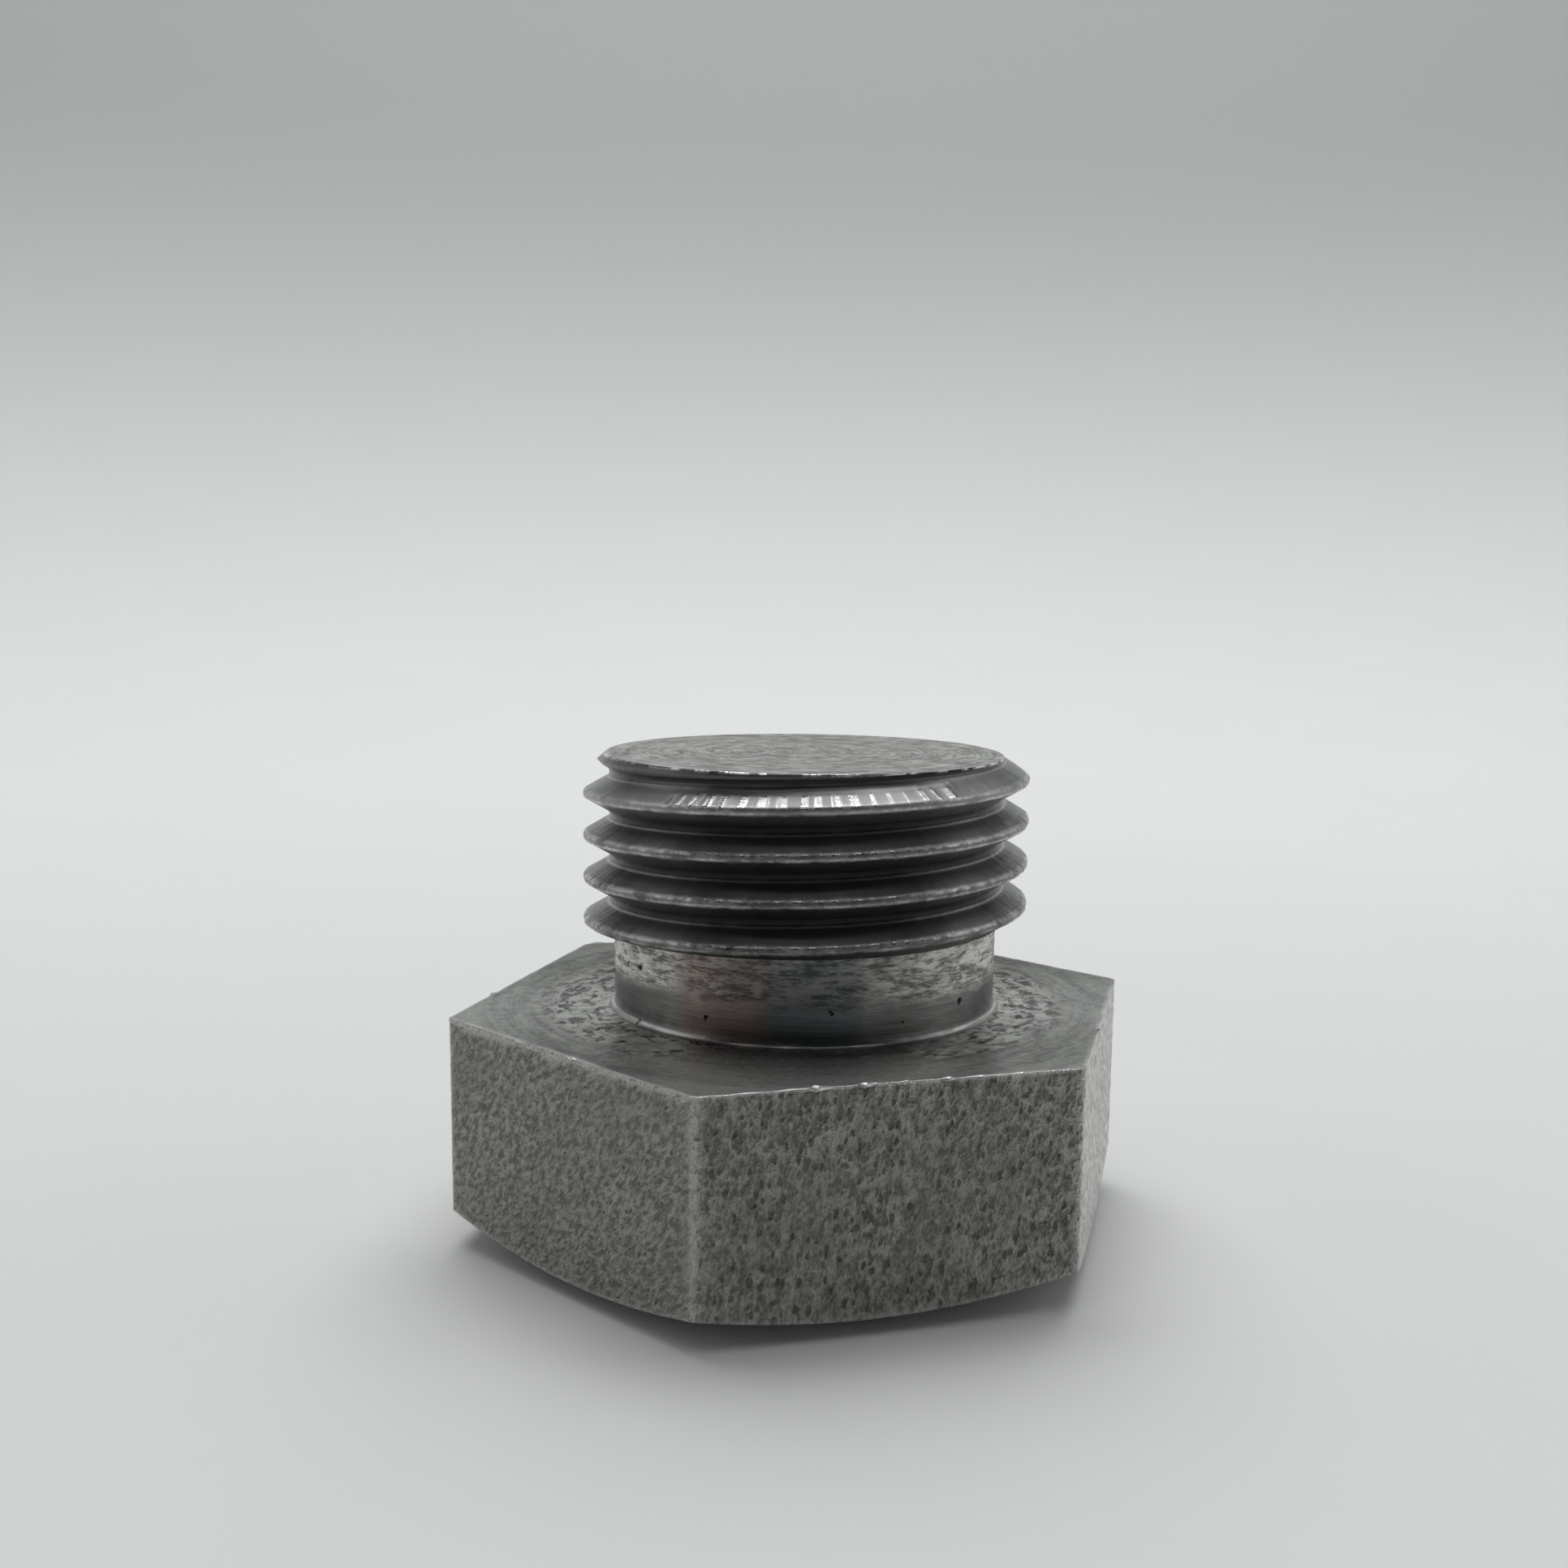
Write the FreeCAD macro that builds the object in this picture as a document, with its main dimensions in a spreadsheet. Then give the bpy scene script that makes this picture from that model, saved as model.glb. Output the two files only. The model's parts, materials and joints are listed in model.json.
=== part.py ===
"""Solid hexagon head plug with a short metric thread, standing on its head.

Origin at the centre of the head's free face, +Z along the thread axis, millimetres.
The head's corners lie on the X axis, so two of its flats face +Y and -Y.
"""
import os

import FreeCAD
import Part
import Sketcher

SIZES = [
    ("across_flats", 22.0, "hexagon head across flats"),
    ("head_height", 8.2, "free face of the head to its shoulder"),
    ("corner_radius", 0.3, "rounding of the six upright corners"),
    ("bevel_diameter", 17.6, "flat circle left on the free face inside the corner bevel"),
    ("bevel_angle", 20.0, "corner bevel, measured from the free face"),
    ("stub_length", 9.1, "shoulder to thread end"),
    ("neck_diameter", 13.8, "plain neck under the thread"),
    ("neck_height", 3.1, "shoulder to the start of the thread"),
    ("neck_fillet", 0.2, "tool nose radius where the neck meets the shoulder"),
    ("thread_diameter", 16.0, "thread major diameter"),
    ("thread_pitch", 1.5, "advance per turn"),
    ("crest_flat", 0.1875, "flat on the thread crest, an eighth of the pitch"),
    ("thread_depth", 0.92, "crest to root, measured on the radius"),
    ("flank_angle", 30.0, "each flank, measured from a plane square to the axis"),
    ("cut_start", 1.7, "shoulder to the middle of the first groove, on the +X side"),
    ("cut_height", 8.25, "rise of the thread cut, from inside the neck to past the end"),
    ("cut_margin", 0.1, "how far the thread cutter stands out past the crest"),
    ("end_face_diameter", 14.4, "flat of the thread end inside its chamfer"),
    ("end_chamfer_height", 0.7, "height of the chamfer on the thread end"),
]
SHEET = "Sizes"
HEX_SIDES = 6


def make_sheet(doc):
    """One row per driving size: its alias, its value and what it measures."""
    sheet = doc.addObject("Spreadsheet::Sheet", SHEET)
    for row, (alias, value, meaning) in enumerate(SIZES, start=1):
        sheet.set(f"A{row}", alias)
        sheet.set(f"B{row}", str(value))
        sheet.set(f"C{row}", meaning)
        sheet.setAlias(f"B{row}", alias)
    doc.recompute()
    return sheet


def size(text):
    """An expression on the sheet: size("<across_flats> / 2") reads the cell of that alias."""
    return text.replace("<", SHEET + ".").replace(">", "")


def new_sketch(body, name, plane_role):
    """A sketch on one of the body's own origin planes."""
    plane = next(o for o in body.Origin.OriginFeatures if o.Role == plane_role)
    sketch = body.newObject("Sketcher::SketchObject", name)
    sketch.AttachmentSupport = (plane, "")
    sketch.MapMode = "FlatFace"
    return sketch


def pin_corner(sketch, line, axis_name, expression):
    """Hold the start point of a line at an expression's distance from the sketch origin."""
    if expression == "0":
        axis = -2 if axis_name == "DistanceX" else -1
        sketch.addConstraint(Sketcher.Constraint("PointOnObject", line, 1, axis))
        return
    distance = sketch.evalExpression(expression)
    index = sketch.addConstraint(Sketcher.Constraint(axis_name, -1, 1, line, 1, distance))
    sketch.renameConstraint(index, f"corner_{line}_{axis_name}")
    sketch.setExpression(f"Constraints.corner_{line}_{axis_name}", expression)


def closed_outline(sketch, corners):
    """Straight-sided closed outline through corners, each a pair of expressions on the sheet."""
    points = [
        FreeCAD.Vector(sketch.evalExpression(across), sketch.evalExpression(up), 0)
        for across, up in corners
    ]
    count = len(points)
    for i in range(count):
        sketch.addGeometry(Part.LineSegment(points[i], points[(i + 1) % count]), False)
    for i in range(count):
        sketch.addConstraint(Sketcher.Constraint("Coincident", i, 2, (i + 1) % count, 1))
    for i, (across, up) in enumerate(corners):
        pin_corner(sketch, i, "DistanceX", across)
        pin_corner(sketch, i, "DistanceY", up)


def edges_where(feature, wanted):
    """Names of the feature's edges for which wanted(edge) is true."""
    return [f"Edge{i}" for i, edge in enumerate(feature.Shape.Edges, start=1) if wanted(edge)]


def is_upright(edge):
    """True for a straight edge along Z."""
    start, end = edge.Vertexes[0].Point, edge.Vertexes[-1].Point
    return abs(start.x - end.x) < 1e-6 and abs(start.y - end.y) < 1e-6


def add_fillet(body, name, base, edge_names, radius_alias):
    """Round the named edges of base with a radius from the sheet."""
    fillet = body.newObject("PartDesign::Fillet", name)
    fillet.Base = (base, edge_names)
    fillet.setExpression("Radius", size(f"<{radius_alias}>"))
    return fillet


def add_head(doc, body):
    """Hexagon bar with softened upright corners and a bevel round its free face."""
    across = new_sketch(body, "hexagon", "XY_Plane")
    corner_reach = "<across_flats> / 2 / cos(30 deg)"
    closed_outline(
        across,
        [
            (size(f"{corner_reach} * cos({turn} deg)"), size(f"{corner_reach} * sin({turn} deg)"))
            if turn % 180
            else (size(f"{corner_reach} * cos({turn} deg)"), "0")
            for turn in range(0, 360, 360 // HEX_SIDES)
        ],
    )
    head = body.newObject("PartDesign::Pad", "head")
    head.Profile = across
    head.setExpression("Length", size("<head_height>"))
    doc.recompute()

    upright = edges_where(head, is_upright)
    add_fillet(body, "head_corners", head, upright, "corner_radius")
    doc.recompute()

    bevel_section = new_sketch(body, "bevel_section", "XZ_Plane")
    inner, outer = "<bevel_diameter> / 2", "<across_flats>"
    closed_outline(
        bevel_section,
        [
            (size(inner), "0"),
            (size(outer), "0"),
            (size(outer), size(f"({outer} - {inner}) * tan(<bevel_angle> * 1 deg)")),
        ],
    )
    bevel = body.newObject("PartDesign::Groove", "head_bevel")
    bevel.Profile = bevel_section
    bevel.ReferenceAxis = (bevel_section, ["V_Axis"])
    bevel.Angle = 360
    doc.recompute()


def add_stub(doc, body):
    """Turned stub on the shoulder: plain neck, full-size land for the thread, chamfered end."""
    section = new_sketch(body, "stub_section", "XZ_Plane")
    neck, land, end = "<neck_diameter> / 2", "<thread_diameter> / 2", "<end_face_diameter> / 2"
    shoulder, thread_start = "<head_height>", "<head_height> + <neck_height>"
    tip = "<head_height> + <stub_length>"
    closed_outline(
        section,
        [
            ("0", size(shoulder)),
            (size(neck), size(shoulder)),
            (size(neck), size(thread_start)),
            (size(land), size(thread_start)),
            (size(land), size(f"{tip} - <end_chamfer_height>")),
            (size(end), size(tip)),
            ("0", size(tip)),
        ],
    )
    stub = body.newObject("PartDesign::Revolution", "stub")
    stub.Profile = section
    stub.ReferenceAxis = (section, ["V_Axis"])
    stub.Angle = 360
    doc.recompute()
    return stub


def add_neck_fillet(doc, body, stub):
    """Small radius in the corner between neck and shoulder."""
    neck_radius = body.evalExpression(size("<neck_diameter> / 2"))
    shoulder = body.evalExpression(size("<head_height>"))

    def is_neck_corner(edge):
        on_shoulder = abs(edge.BoundBox.ZMin - shoulder) < 1e-6 and edge.BoundBox.ZLength < 1e-6
        return on_shoulder and abs(getattr(edge.Curve, "Radius", 0) - neck_radius) < 1e-6

    fillet = add_fillet(body, "neck_corner", stub, edges_where(stub, is_neck_corner), "neck_fillet")
    doc.recompute()
    return fillet


def add_thread(doc, body):
    """Single-start right-hand groove, cut from inside the neck up and out of the chamfered end."""
    section = new_sketch(body, "groove_section", "XZ_Plane")
    crest, depth = "<thread_diameter> / 2", "<thread_depth>"
    middle = "(<head_height> + <cut_start>)"
    half_at_crest = "(<thread_pitch> - <crest_flat>) / 2"
    slope = "tan(<flank_angle> * 1 deg)"
    half_outer = f"({half_at_crest} + <cut_margin> * {slope})"
    half_root = f"({half_at_crest} - {depth} * {slope})"
    outer, root = f"{crest} + <cut_margin>", f"{crest} - {depth}"
    closed_outline(
        section,
        [
            (size(root), size(f"{middle} - {half_root}")),
            (size(outer), size(f"{middle} - {half_outer}")),
            (size(outer), size(f"{middle} + {half_outer}")),
            (size(root), size(f"{middle} + {half_root}")),
        ],
    )
    thread = body.newObject("PartDesign::SubtractiveHelix", "thread")
    thread.Profile = section
    thread.ReferenceAxis = (section, ["V_Axis"])
    thread.Mode = "pitch-height-angle"
    thread.LeftHanded = False
    thread.Reversed = False
    thread.setExpression("Pitch", size("<thread_pitch>"))
    thread.setExpression("Height", size("<cut_height>"))
    doc.recompute()
    return thread


def check(doc, bodies):
    """Stop if any object failed to build or a body's shape is not one sound solid."""
    for thing in doc.Objects:
        if {"Invalid", "Error"} & set(thing.State):
            raise RuntimeError(f"{thing.Name} failed: {thing.State}")
    for body in bodies:
        if body.Shape.isNull() or not body.Shape.isValid() or len(body.Shape.Solids) != 1:
            raise RuntimeError(f"{body.Label} has no sound solid")


doc = FreeCAD.newDocument("HexHeadPlug")
make_sheet(doc)
plug = doc.addObject("PartDesign::Body", "plug_body")
plug.Label = "plug_body"
plug.Placement = FreeCAD.Placement()
add_head(doc, plug)
turned = add_stub(doc, plug)
add_neck_fillet(doc, plug, turned)
smooth_volume = plug.Shape.Volume
add_thread(doc, plug)
doc.recompute()
check(doc, [plug])
if plug.Shape.Volume > 0.99 * smooth_volume:
    raise RuntimeError("the thread cut removed too little")

os.makedirs("parts", exist_ok=True)
plug.Shape.exportStep(f"parts/{plug.Label}.step")
print(f"{plug.Label}: {plug.Shape.Volume:.1f} mm3, {len(plug.Shape.Faces)} faces")
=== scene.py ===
import json
import math

import bpy
import numpy as np
from mathutils import Matrix, Vector, noise


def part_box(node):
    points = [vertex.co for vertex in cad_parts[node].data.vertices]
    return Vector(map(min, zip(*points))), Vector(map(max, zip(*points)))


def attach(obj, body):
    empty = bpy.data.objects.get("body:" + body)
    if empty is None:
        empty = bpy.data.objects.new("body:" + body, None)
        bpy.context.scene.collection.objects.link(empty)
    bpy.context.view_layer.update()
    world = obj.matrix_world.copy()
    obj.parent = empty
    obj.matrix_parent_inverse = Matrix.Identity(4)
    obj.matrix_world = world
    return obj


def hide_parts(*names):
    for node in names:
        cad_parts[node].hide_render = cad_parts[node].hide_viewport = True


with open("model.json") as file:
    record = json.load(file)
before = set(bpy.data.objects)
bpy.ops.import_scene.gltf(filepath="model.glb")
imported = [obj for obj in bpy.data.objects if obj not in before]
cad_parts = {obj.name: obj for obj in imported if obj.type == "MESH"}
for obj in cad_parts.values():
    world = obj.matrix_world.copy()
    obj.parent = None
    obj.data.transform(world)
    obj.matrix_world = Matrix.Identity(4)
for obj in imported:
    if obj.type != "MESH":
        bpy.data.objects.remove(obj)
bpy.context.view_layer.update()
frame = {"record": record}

# Hexagon head plug, turned from bar, standing on its head on a pale paper sweep.
#
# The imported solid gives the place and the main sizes. A finer mesh of the same shape stands for
# it, with the turning marks, torn thread crests and rolled bar skin of the real piece.
# The plug is modelled in millimetres and turned into metres when its mesh is made. The stage,
# the lights and the camera are in metres.

MM = 0.001
NODE = "plug_body"

# ---------------------------------------------------------------- sizes, from the frame
_, box_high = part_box(NODE)
mounts = {mount["name"]: mount for mount in frame["record"]["mounts"]}
FLAT_REACH = box_high.y / MM
TOP = box_high.z / MM
SHOULDER = mounts["shoulder_seat"]["pos_m"][2] / MM
CREST_R = mounts["port_thread"]["dims"]["r_mm"]
THREAD_START = TOP - mounts["port_thread"]["dims"]["length_mm"]

# ---------------------------------------------------------------- sizes that the frame doesn't hold
CORNER_ROUND = 0.3
NECK_R = 6.9
NECK_FILLET = 0.2
PITCH = 1.5
# Half the width of a crest's top, and how high the first crest's middle is where the thread starts.
CREST_HALF = 0.094
FIRST_CREST = SHOULDER + 2.45
FLANK_SLOPE = math.tan(math.radians(30))
THREAD_DEPTH = 0.92
END_R = 7.2
END_CHAMFER = 0.7
BEVEL_SLOPE = math.tan(math.radians(20))
BEVEL_R = 8.6
# How far the bevel and the bar ran off the thread's axis, in x and y.
BEVEL_CENTRE = (-0.57, -0.70)
BAR_OFFSET = (-0.09, 0.10)

# ---------------------------------------------------------------- mesh density, per flat
SIDES = 6
SECTOR = 2 * math.pi / SIDES
FINE_STEPS = 5
FINE_STEP = math.radians(0.3)
COARSE_STEPS = 88


def column_angles():
    """Angles of the mesh's columns: even steps on the flats, finer ones round each corner."""
    fine = FINE_STEP * np.arange(FINE_STEPS)
    middle = np.linspace(FINE_STEP * FINE_STEPS, SECTOR - FINE_STEP * FINE_STEPS, COARSE_STEPS)
    sector = np.concatenate([fine, middle, SECTOR - fine[:0:-1]])
    whole = np.concatenate([sector + SECTOR * side for side in range(SIDES)])
    return np.append(whole, 2 * math.pi)


ANGLE = column_angles()
COS, SIN = np.cos(ANGLE), np.sin(ANGLE)
COS[-1], SIN[-1] = COS[0], SIN[0]


def hexagon():
    """Reach of the rounded hexagon at every column, its outward direction, its angle from a corner."""
    off = (ANGLE + SECTOR / 2) % SECTOR - SECTOR / 2
    centre = (FLAT_REACH - CORNER_ROUND) / math.cos(SECTOR / 2)
    lean = off + np.arcsin(np.clip(centre * np.sin(off) / CORNER_ROUND, -1, 1))
    rounded = centre * np.cos(off) + np.sqrt(np.maximum(CORNER_ROUND**2 - (centre * np.sin(off)) ** 2, 0))
    flat = FLAT_REACH / np.cos(SECTOR / 2 - np.abs(off))
    reach = np.where(np.abs(lean) < SECTOR / 2, rounded, flat)
    facing = ANGLE - off + np.clip(lean, -SECTOR / 2, SECTOR / 2)
    return reach, np.cos(facing), np.sin(facing), np.abs(off)


HEX_R, OUT_X, OUT_Y, FROM_CORNER = hexagon()


def field(points, scale, seed=0.0):
    """Smooth noise, -1 to 1, at each point of an (n, 3) array in millimetres."""
    shift = Vector((seed * 17.3, seed * 5.1, seed * 9.7))
    flat = points.reshape(-1, 3) * scale
    values = [noise.noise(Vector(p) + shift) for p in flat.tolist()]
    return np.array(values).reshape(points.shape[:-1])


def ring(radius, height):
    """One ring of points at that radius and height, either of them one number or one a column."""
    zeros = np.zeros_like(ANGLE)
    return np.stack([radius * COS, radius * SIN, zeros + height], axis=-1)


def smooth(value, low, high):
    """0 below low, 1 above high and an eased rise between."""
    t = np.clip((value - low) / (high - low), 0, 1)
    return t * t * (3 - 2 * t)


class Skin:
    """Rings of points stacked from the free face to the thread end, in named regions."""

    def __init__(self):
        self.rings = []
        self.regions = []
        self.wear = []

    def add(self, region, points, wear=0.0):
        """A ring that ends the band of faces below it, which belongs to region."""
        self.rings.append(points)
        self.regions.append(region)
        self.wear.append(np.zeros_like(ANGLE) + wear)


def sit_off_centre(grid):
    """The bar ran a little off centre in the chuck, so the head sits beside the thread's axis."""
    radius = np.hypot(grid[..., 0], grid[..., 1])
    shoulder = smooth(radius, NECK_R + 2 * NECK_FILLET, NECK_R + 2.5)
    share = np.where(grid[..., 2] < SHOULDER - 0.3, 1.0, shoulder)
    share = np.where(grid[..., 2] > SHOULDER + 0.4, 0.0, share)
    grid[..., 0] += share * BAR_OFFSET[0]
    grid[..., 1] += share * BAR_OFFSET[1]


def bevel_reach():
    """Radius at which the bevel leaves the free face. The bevel was cut a little off centre."""
    cx, cy = BEVEL_CENTRE
    along = cx * COS + cy * SIN
    return along + np.sqrt(BEVEL_R**2 - (cx**2 + cy**2 - along**2))


def bevel_height(x, y):
    """Height of the bevel cone over a point."""
    cx, cy = BEVEL_CENTRE
    return np.maximum(np.hypot(x - cx, y - cy) - BEVEL_R, 0) * BEVEL_SLOPE


def add_free_face(skin):
    """Flat face under the head and the bevel that rises to the flats."""
    inner = bevel_reach()
    for share in (0.0, 0.35, 0.7, 0.97, 1.0):
        skin.add("free_face", ring(inner * share, 0.0))
    for share in (0.05, 0.3, 0.6, 0.9, 0.98):
        radius = inner + (HEX_R - 0.02 - inner) * share
        skin.add("bevel", ring(radius, bevel_height(radius * COS, radius * SIN)))


# Each flat from the +X corner on: slant of its grain in degrees, squeeze of the grain along the bar,
# how much a painted sheen (painted reflection) lightens it, how many dark dimples it has, how far its top
# edge is rolled over.
FLATS = (
    (10, 0.7, 0.3, 0.7, 0.5), (-14, 0.8, 0.0, 0.4, 0.3), (6, 0.7, 0.5, 0.8, 0.8),
    (32, 0.85, 0.0, 0.3, 1.0), (5, 0.58, 0.0, 1.0, 0.1), (3, 0.6, 1.0, 0.6, 0.3),
)


def side_of(angle):
    """Number of the flat at an angle."""
    return np.minimum((angle / SECTOR + 1e-6).astype(int), SIDES - 1)


def bar_relief(points):
    """How far the rolled skin of the bar stands in or out of its flats."""
    squeezed = points * np.array([1.0, 1.0, 0.7])
    grain = field(squeezed, 2.9, 1) * 0.022 + field(squeezed, 5.5, 2) * 0.016
    pits = -0.03 * smooth(field(squeezed, 2.6, 3), 0.42, 0.75)
    swell = field(points, 0.35, 4) * 0.03
    return grain + pits + swell


# Lumps of the burr on the shoulder's edge: angle round the axis, reach in mm, half width in degrees.
BURRS = (
    (33, 0.10, 1.0), (76, 0.12, 0.9), (118, 0.08, 1.2), (164, 0.10, 0.9), (199, 0.09, 1.1), (213, 0.12, 0.9),
    (247, 0.07, 1.6), (253, 0.12, 1.5), (256.8, 0.30, 1.0), (258.6, 0.14, 0.9), (264.6, 0.22, 0.9),
    (266.4, 0.10, 0.9), (271.5, 0.13, 0.8), (278.6, 0.22, 0.8), (284, 0.10, 1.0), (290.5, 0.12, 0.8),
    (322, 0.12, 0.9),
)


def edge_burr():
    """Metal pushed out over the shoulder's edge: a fine ragged lip with a few larger lumps."""
    rim = ring(HEX_R, SHOULDER)
    lip = 0.02 + 0.012 * field(rim, 0.6, 5) + 0.014 * field(rim, 1.9, 7) + 0.012 * field(rim, 4.5, 18)
    for angle, reach, width in BURRS:
        lip = lip + reach * np.exp(-(((ANGLE - math.radians(angle)) / math.radians(width)) ** 2))
    return lip


def add_flats(skin):
    """The six flats, from the bevel's curved edge to the shoulder's torn edge."""
    foot = bevel_height(HEX_R * COS, HEX_R * SIN)
    arc_from_corner = FROM_CORNER * HEX_R
    corner_wear_and_highlight = np.exp(-((arc_from_corner / 0.18) ** 2))
    rows = [foot + step for step in (0.0, 0.02, 0.08)]
    low, high = foot + 0.16, SHOULDER - 0.2
    rows += [low + (high - low) * share for share in np.linspace(0, 1, 40)]
    rows += [SHOULDER - step + 0 * foot for step in (0.13, 0.07, 0.025, 0.0)]
    burr = edge_burr()
    rolled_share = np.array(FLATS)[side_of(ANGLE), -1]
    rolled_share = rolled_share * (0.8 + 0.5 * field(ring(HEX_R, SHOULDER), 0.9, 20))
    rolled = 0.07 + 0.26 * rolled_share * (1 - corner_wear_and_highlight)
    for row in rows:
        base = ring(HEX_R, row)
        relief = bar_relief(base)
        calm = smooth(row - foot, 0, 0.4) * (1 - 0.8 * corner_wear_and_highlight)
        torn = smooth(row, SHOULDER - 0.17, SHOULDER) * burr
        ridges = 0.006 * corner_wear_and_highlight * field(base * np.array([0.1, 0.1, 1.0]), 4.0, 19)
        over = -0.10 * rolled * smooth(row, SHOULDER - rolled, SHOULDER)
        out = relief * calm + ridges + torn + over
        base[:, 0] += OUT_X * out
        base[:, 1] += OUT_Y * out
        near_foot = 0.55 * (1 - smooth(row - foot, 0.02, 0.2))
        near_top = smooth(row, SHOULDER - rolled, SHOULDER - 0.6 * rolled)
        # Worn places and a painted highlight: the foot, the rolled top edge and the rounded corners.
        skin.add("flats", base, np.maximum(np.maximum(near_foot, near_top), corner_wear_and_highlight))


def add_shoulder(skin):
    """Turned face from the torn edge in to the corner of the neck."""
    burr = edge_burr()
    foot = NECK_R + NECK_FILLET
    # Painted highlight along the edge and on its burr lumps, kept with the edge's worn values.
    shine = 0.35 + 0.65 * smooth(field(ring(HEX_R, SHOULDER), 0.8, 21) + 3.0 * (burr - 0.02), -0.25, 0.35)
    insets = (0.03, 0.09, 0.18, 0.35, 0.7)
    for inset in insets:
        radius = HEX_R - inset
        lip = 1 - smooth(inset, 0.02, 0.2)
        base = ring(radius + lip * burr * 0.6, SHOULDER)
        base[:, 2] += lip * burr * 0.5
        skin.add("shoulder", base, shine * lip)
    for share in np.linspace(0, 1, 15)[1:]:
        radius = HEX_R - insets[-1] + (foot - HEX_R + insets[-1]) * share
        base = ring(radius, SHOULDER)
        torn = smooth(field(base * np.array([1, 1, 0]), 2.0, 8), 0.1, 0.6)
        torn = torn * smooth(radius, 10.2, 8.6) * smooth(radius, 7.1, 7.4)
        base[:, 2] -= 0.03 * torn
        skin.add("shoulder", base, 0.0)


def add_neck(skin):
    """Corner radius, smooth lower neck and torn upper neck, up to where the thread starts."""
    for turn in (0.25, 0.5, 0.75, 1.0):
        a = turn * math.pi / 2
        radius = NECK_R + NECK_FILLET * (1 - math.sin(a))
        height = SHOULDER + NECK_FILLET * (1 - math.cos(a))
        # The corner radius carries a painted glint.
        skin.add("neck", ring(radius, height), 0.8 * (1 - abs(2 * turn - 1.2)))
    low, high = SHOULDER + NECK_FILLET, THREAD_START
    for share in np.linspace(0, 1, 20)[1:]:
        height = low + (high - low) * share
        base = ring(NECK_R, height)
        streaks = field(base * np.array([0.5, 0.5, 3.0]), 1.0, 10)
        torn = smooth(height, SHOULDER + 1.3, SHOULDER + 1.9)
        out = torn * (0.03 * streaks + 0.02 * field(base, 2.5, 11)) + 0.004 * streaks
        out = out * (1 - smooth(share, 0.97, 1.0))
        skin.add("neck", ring(NECK_R + out, height))


def crest_height():
    """Height of the middle of the first crest at every column, which climbs one pitch a turn."""
    return FIRST_CREST + PITCH * ANGLE / (2 * math.pi)


def thread_radius(height, offset):
    """Radius of the thread at a height, where offset is how far that is above a crest's middle."""
    root = CREST_R - THREAD_DEPTH
    rim = ring(CREST_R, height)
    wander = 0.010 * field(rim, 1.3, 12) + 0.014 * field(rim, 4.2, 13)
    nicks = smooth(field(rim, 2.6, 14), 0.4, 0.65)
    slack = np.abs(offset + wander) - CREST_HALF
    flank = CREST_R - np.maximum(slack, 0) / FLANK_SLOPE
    near_crest = 1 - smooth(np.abs(slack), 0.01, 0.10)
    worn = near_crest * (0.022 * field(rim, 5.5, 15) - 0.07 * nicks + 0.005)
    chamfer = END_R + (TOP - height) * (CREST_R - END_R) / END_CHAMFER
    ragged = 0.012 * field(rim, 3.0, 16) - 0.04 * smooth(field(rim, 1.7, 17), 0.45, 0.7)
    return np.minimum(np.maximum(flank, root) + worn, chamfer + ragged), near_crest


def add_thread(skin):
    """One helical band of rows per pitch, cut off level at the relief and at the thread end."""
    offsets = (-0.68, -0.61, -0.47, -0.32, -0.18, -0.11, -0.04)
    offsets = offsets + tuple(-offset for offset in reversed(offsets))
    middle = crest_height()
    first = math.floor((THREAD_START - middle[-1]) / PITCH)
    last = math.ceil((TOP - middle[0]) / PITCH)
    for share in (0.35, 0.7, 0.95):
        wall, _ = thread_radius(THREAD_START + 0 * ANGLE, wrap_offset(THREAD_START))
        skin.add("thread", ring(NECK_R + (wall - NECK_R) * share, THREAD_START))
    for turn in range(first, last + 1):
        for offset in offsets:
            height = np.clip(middle + turn * PITCH + offset, THREAD_START, TOP)
            radius, crest = thread_radius(height, wrap_offset(height))
            rim = smooth(height, TOP - 0.12, TOP) * 0.8
            skin.add("thread", ring(radius, height), np.maximum(crest, rim))


def wrap_offset(height):
    """How far a height is above the nearest crest's middle, at every column."""
    return (height - crest_height() + PITCH / 2) % PITCH - PITCH / 2


def add_end(skin):
    """Faced end of the thread, with a nicked rim."""
    rim, _ = thread_radius(TOP + 0 * ANGLE, wrap_offset(TOP))
    # The outermost ring carries the rim's painted glints.
    for inset, wear in ((0.03, 0.8), (0.10, 0.2), (0.3, 0)):
        skin.add("end", ring(rim - inset, TOP + (0.012 if inset < 0.05 else 0.0)), wear)
    for share in (0.75, 0.5, 0.25, 0.0):
        skin.add("end", ring(rim * share, TOP))


# ---------------------------------------------------------------- unwrapping
def strip_uv(low, high, halves):
    """Unrolls a band: u goes round, v from low to high, in one row or two half-turn rows."""

    def place(angle, share, first_angle):
        row = np.floor(first_angle / (2 * math.pi) * halves)
        u = angle / (2 * math.pi) * halves - row
        height = (high - low) / halves
        return 0.005 + 0.99 * u, low + height * (row + 0.02 + 0.96 * share)

    return place


REGIONS = ("free_face", "bevel", "flats", "shoulder", "neck", "thread", "end")
STRIPS = {
    "flats": strip_uv(0.0, 0.33, 2), "thread": strip_uv(0.33, 0.53, 1), "neck": strip_uv(0.53, 0.58, 1),
}
# A face seen along the axis keeps its shape. Millimetres across a full disc, the share of the map
# that this takes, and where each disc's middle lies, with its own scale.
DISC_SPAN = 26.0
DISC_SIZE = 0.42
DISCS = {
    "free_face": (0.21, 0.79, 1), "bevel": (0.21, 0.79, 1), "shoulder": (0.64, 0.79, 1),
    "end": (0.925, 0.66, 0.56),
}


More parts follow.
